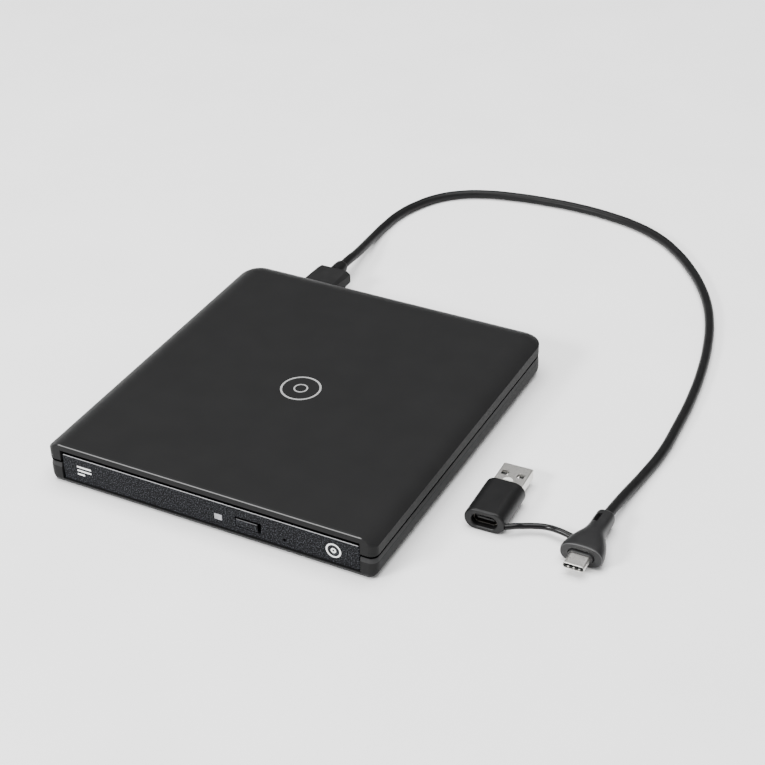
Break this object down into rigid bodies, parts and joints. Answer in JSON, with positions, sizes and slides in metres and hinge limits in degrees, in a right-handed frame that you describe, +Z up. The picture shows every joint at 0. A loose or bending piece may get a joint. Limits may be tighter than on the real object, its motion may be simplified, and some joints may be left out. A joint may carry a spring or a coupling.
{
  "type": "external optical drive",
  "caption": "Slim external optical disc drive with a sliding tray, a rear USB lead and a tethered plug adapter",
  "frame": {"origin": "centre of the case's footprint on the table, under the feet; the lead and its plugs are left out", "axes": "+X to the right seen from the bezel, +Y towards the rear USB port, +Z up; the tray opens along -Y"},
  "size_m": [0.2112, 0.2871, 0.0184],
  "materials": {
    "case_plastic": "fine matte black moulded plastic",
    "bezel_plastic": "coarser grained black plastic",
    "led_window": "milky light grey light pipe",
    "foot_rubber": "soft black rubber",
    "screw_steel": "bright plated steel",
    "chassis_sheet": "stamped sheet",
    "lid_sheet": "stamped zinc-plated sheet",
    "guide_acetal": "natural acetal",
    "tray_plastic": "matte black moulded plastic",
    "hub_metal": "satin aluminium",
    "board_green": "green solder mask",
    "chip_black": "black moulded package",
    "flex_film": "amber polyimide film",
    "lens_glass": "coated lens",
    "connector_nickel": "nickel-plated shell",
    "cable_rubber": "satin black cable jacket",
    "plug_plastic": "satin black moulding",
    "insulator_white": "white connector insulator"
  },
  "bodies": {
    "case": {"top_cover": "case_plastic", "bottom_cover": "case_plastic", "foot_front_left": "foot_rubber", "foot_front_right": "foot_rubber", "foot_rear_left": "foot_rubber", "foot_rear_right": "foot_rubber", "case_screw_front_left": "screw_steel", "case_screw_front_right": "screw_steel", "case_screw_rear_left": "screw_steel", "case_screw_rear_right": "screw_steel", "drive_chassis": "chassis_sheet", "drive_lid": "lid_sheet", "rail_channel_left": "guide_acetal", "rail_channel_right": "guide_acetal", "catch_post": "screw_steel", "flex_cable": "flex_film", "drive_sata_plug": "chip_black", "bridge_board": "board_green", "bridge_chip": "chip_black", "sata_socket": "chip_black", "usb_port": "connector_nickel", "board_screw_1": "screw_steel", "board_screw_2": "screw_steel"},
    "rail_left": {"rail_left": "screw_steel"},
    "rail_right": {"rail_right": "screw_steel"},
    "tray": {"tray": "tray_plastic", "tray_surround": "tray_plastic", "bezel": "bezel_plastic", "led_lens": "led_window", "button_switch": "chip_black", "tray_board": "board_green", "latch_solenoid": "screw_steel", "latch_pin": "screw_steel", "ejector_spring": "screw_steel", "traverse_frame": "tray_plastic", "traverse_cover": "chassis_sheet", "spindle_motor": "screw_steel", "guide_rod_left": "screw_steel", "guide_rod_right": "screw_steel", "sled_motor": "screw_steel"},
    "eject_button": {"eject_button": "bezel_plastic"},
    "spindle": {"turntable": "hub_metal", "turntable_pad": "foot_rubber", "disc_hub": "guide_acetal"},
    "sled": {"pickup_sled": "hub_metal", "objective_lens": "lens_glass"},
    "lead_screw": {"lead_screw": "screw_steel"},
    "latch": {"latch_lever": "guide_acetal"},
    "ejector": {"ejector_plunger": "guide_acetal"},
    "cable": {"rear_plug": "plug_plastic", "rear_plug_shell": "connector_nickel", "strain_relief": "cable_rubber", "usb_cord": "cable_rubber", "type_c_overmould": "cable_rubber", "type_c_shell": "connector_nickel", "tether_strap": "cable_rubber", "adapter_body": "plug_plastic", "adapter_socket": "chip_black", "usb_a_shell": "connector_nickel", "usb_a_tongue": "insulator_white"}
  },
  "joints": [
    {"name": "tray_slide", "type": "slide", "parent": "case", "child": "tray", "axis": [0, -1, 0], "range_m": [0, 0.125]},
    {"name": "rail_left_slide", "type": "slide", "parent": "case", "child": "rail_left", "axis": [0, -1, 0], "range_m": [0, 0.0625]},
    {"name": "rail_right_slide", "type": "slide", "parent": "case", "child": "rail_right", "axis": [0, -1, 0], "range_m": [0, 0.0625]},
    {"name": "eject_button_press", "type": "slide", "parent": "tray", "child": "eject_button", "axis": [0, 1, 0], "range_m": [0, 0.0006], "stiffness_N_per_m": 400},
    {"name": "spindle_spin", "type": "hinge", "parent": "tray", "child": "spindle", "pos_m": [0, -0.0099, 0.0099], "axis": [0, 0, 1], "continuous": true},
    {"name": "pickup_travel", "type": "slide", "parent": "tray", "child": "sled", "axis": [0.7071, -0.7071, 0], "range_m": [0, 0.0345]},
    {"name": "lead_screw_spin", "type": "hinge", "parent": "tray", "child": "lead_screw", "pos_m": [0.01626, -0.04738, 0.0063], "axis": [0.7071, -0.7071, 0], "continuous": true},
    {"name": "latch_release", "type": "hinge", "parent": "tray", "child": "latch", "pos_m": [-0.038, -0.058, 0.0062], "axis": [0, 0, -1], "range_deg": [0, 12]},
    {"name": "ejector_push", "type": "slide", "parent": "tray", "child": "ejector", "axis": [0, 1, 0], "range_m": [0, 0.008]},
    {"name": "cable_unplug", "type": "slide", "parent": "case", "child": "cable", "axis": [0, 1, 0], "range_m": [0, 0.014]}
  ],
  "couplings": [
    {"joint": "rail_left_slide", "follows": "tray_slide", "ratio": 0.5},
    {"joint": "rail_right_slide", "follows": "tray_slide", "ratio": 0.5},
    {"joint": "ejector_push", "follows": "tray_slide", "ratio": 0.064},
    {"joint": "lead_screw_spin", "follows": "pickup_travel", "rad_per_m": 2094.4}
  ]
}
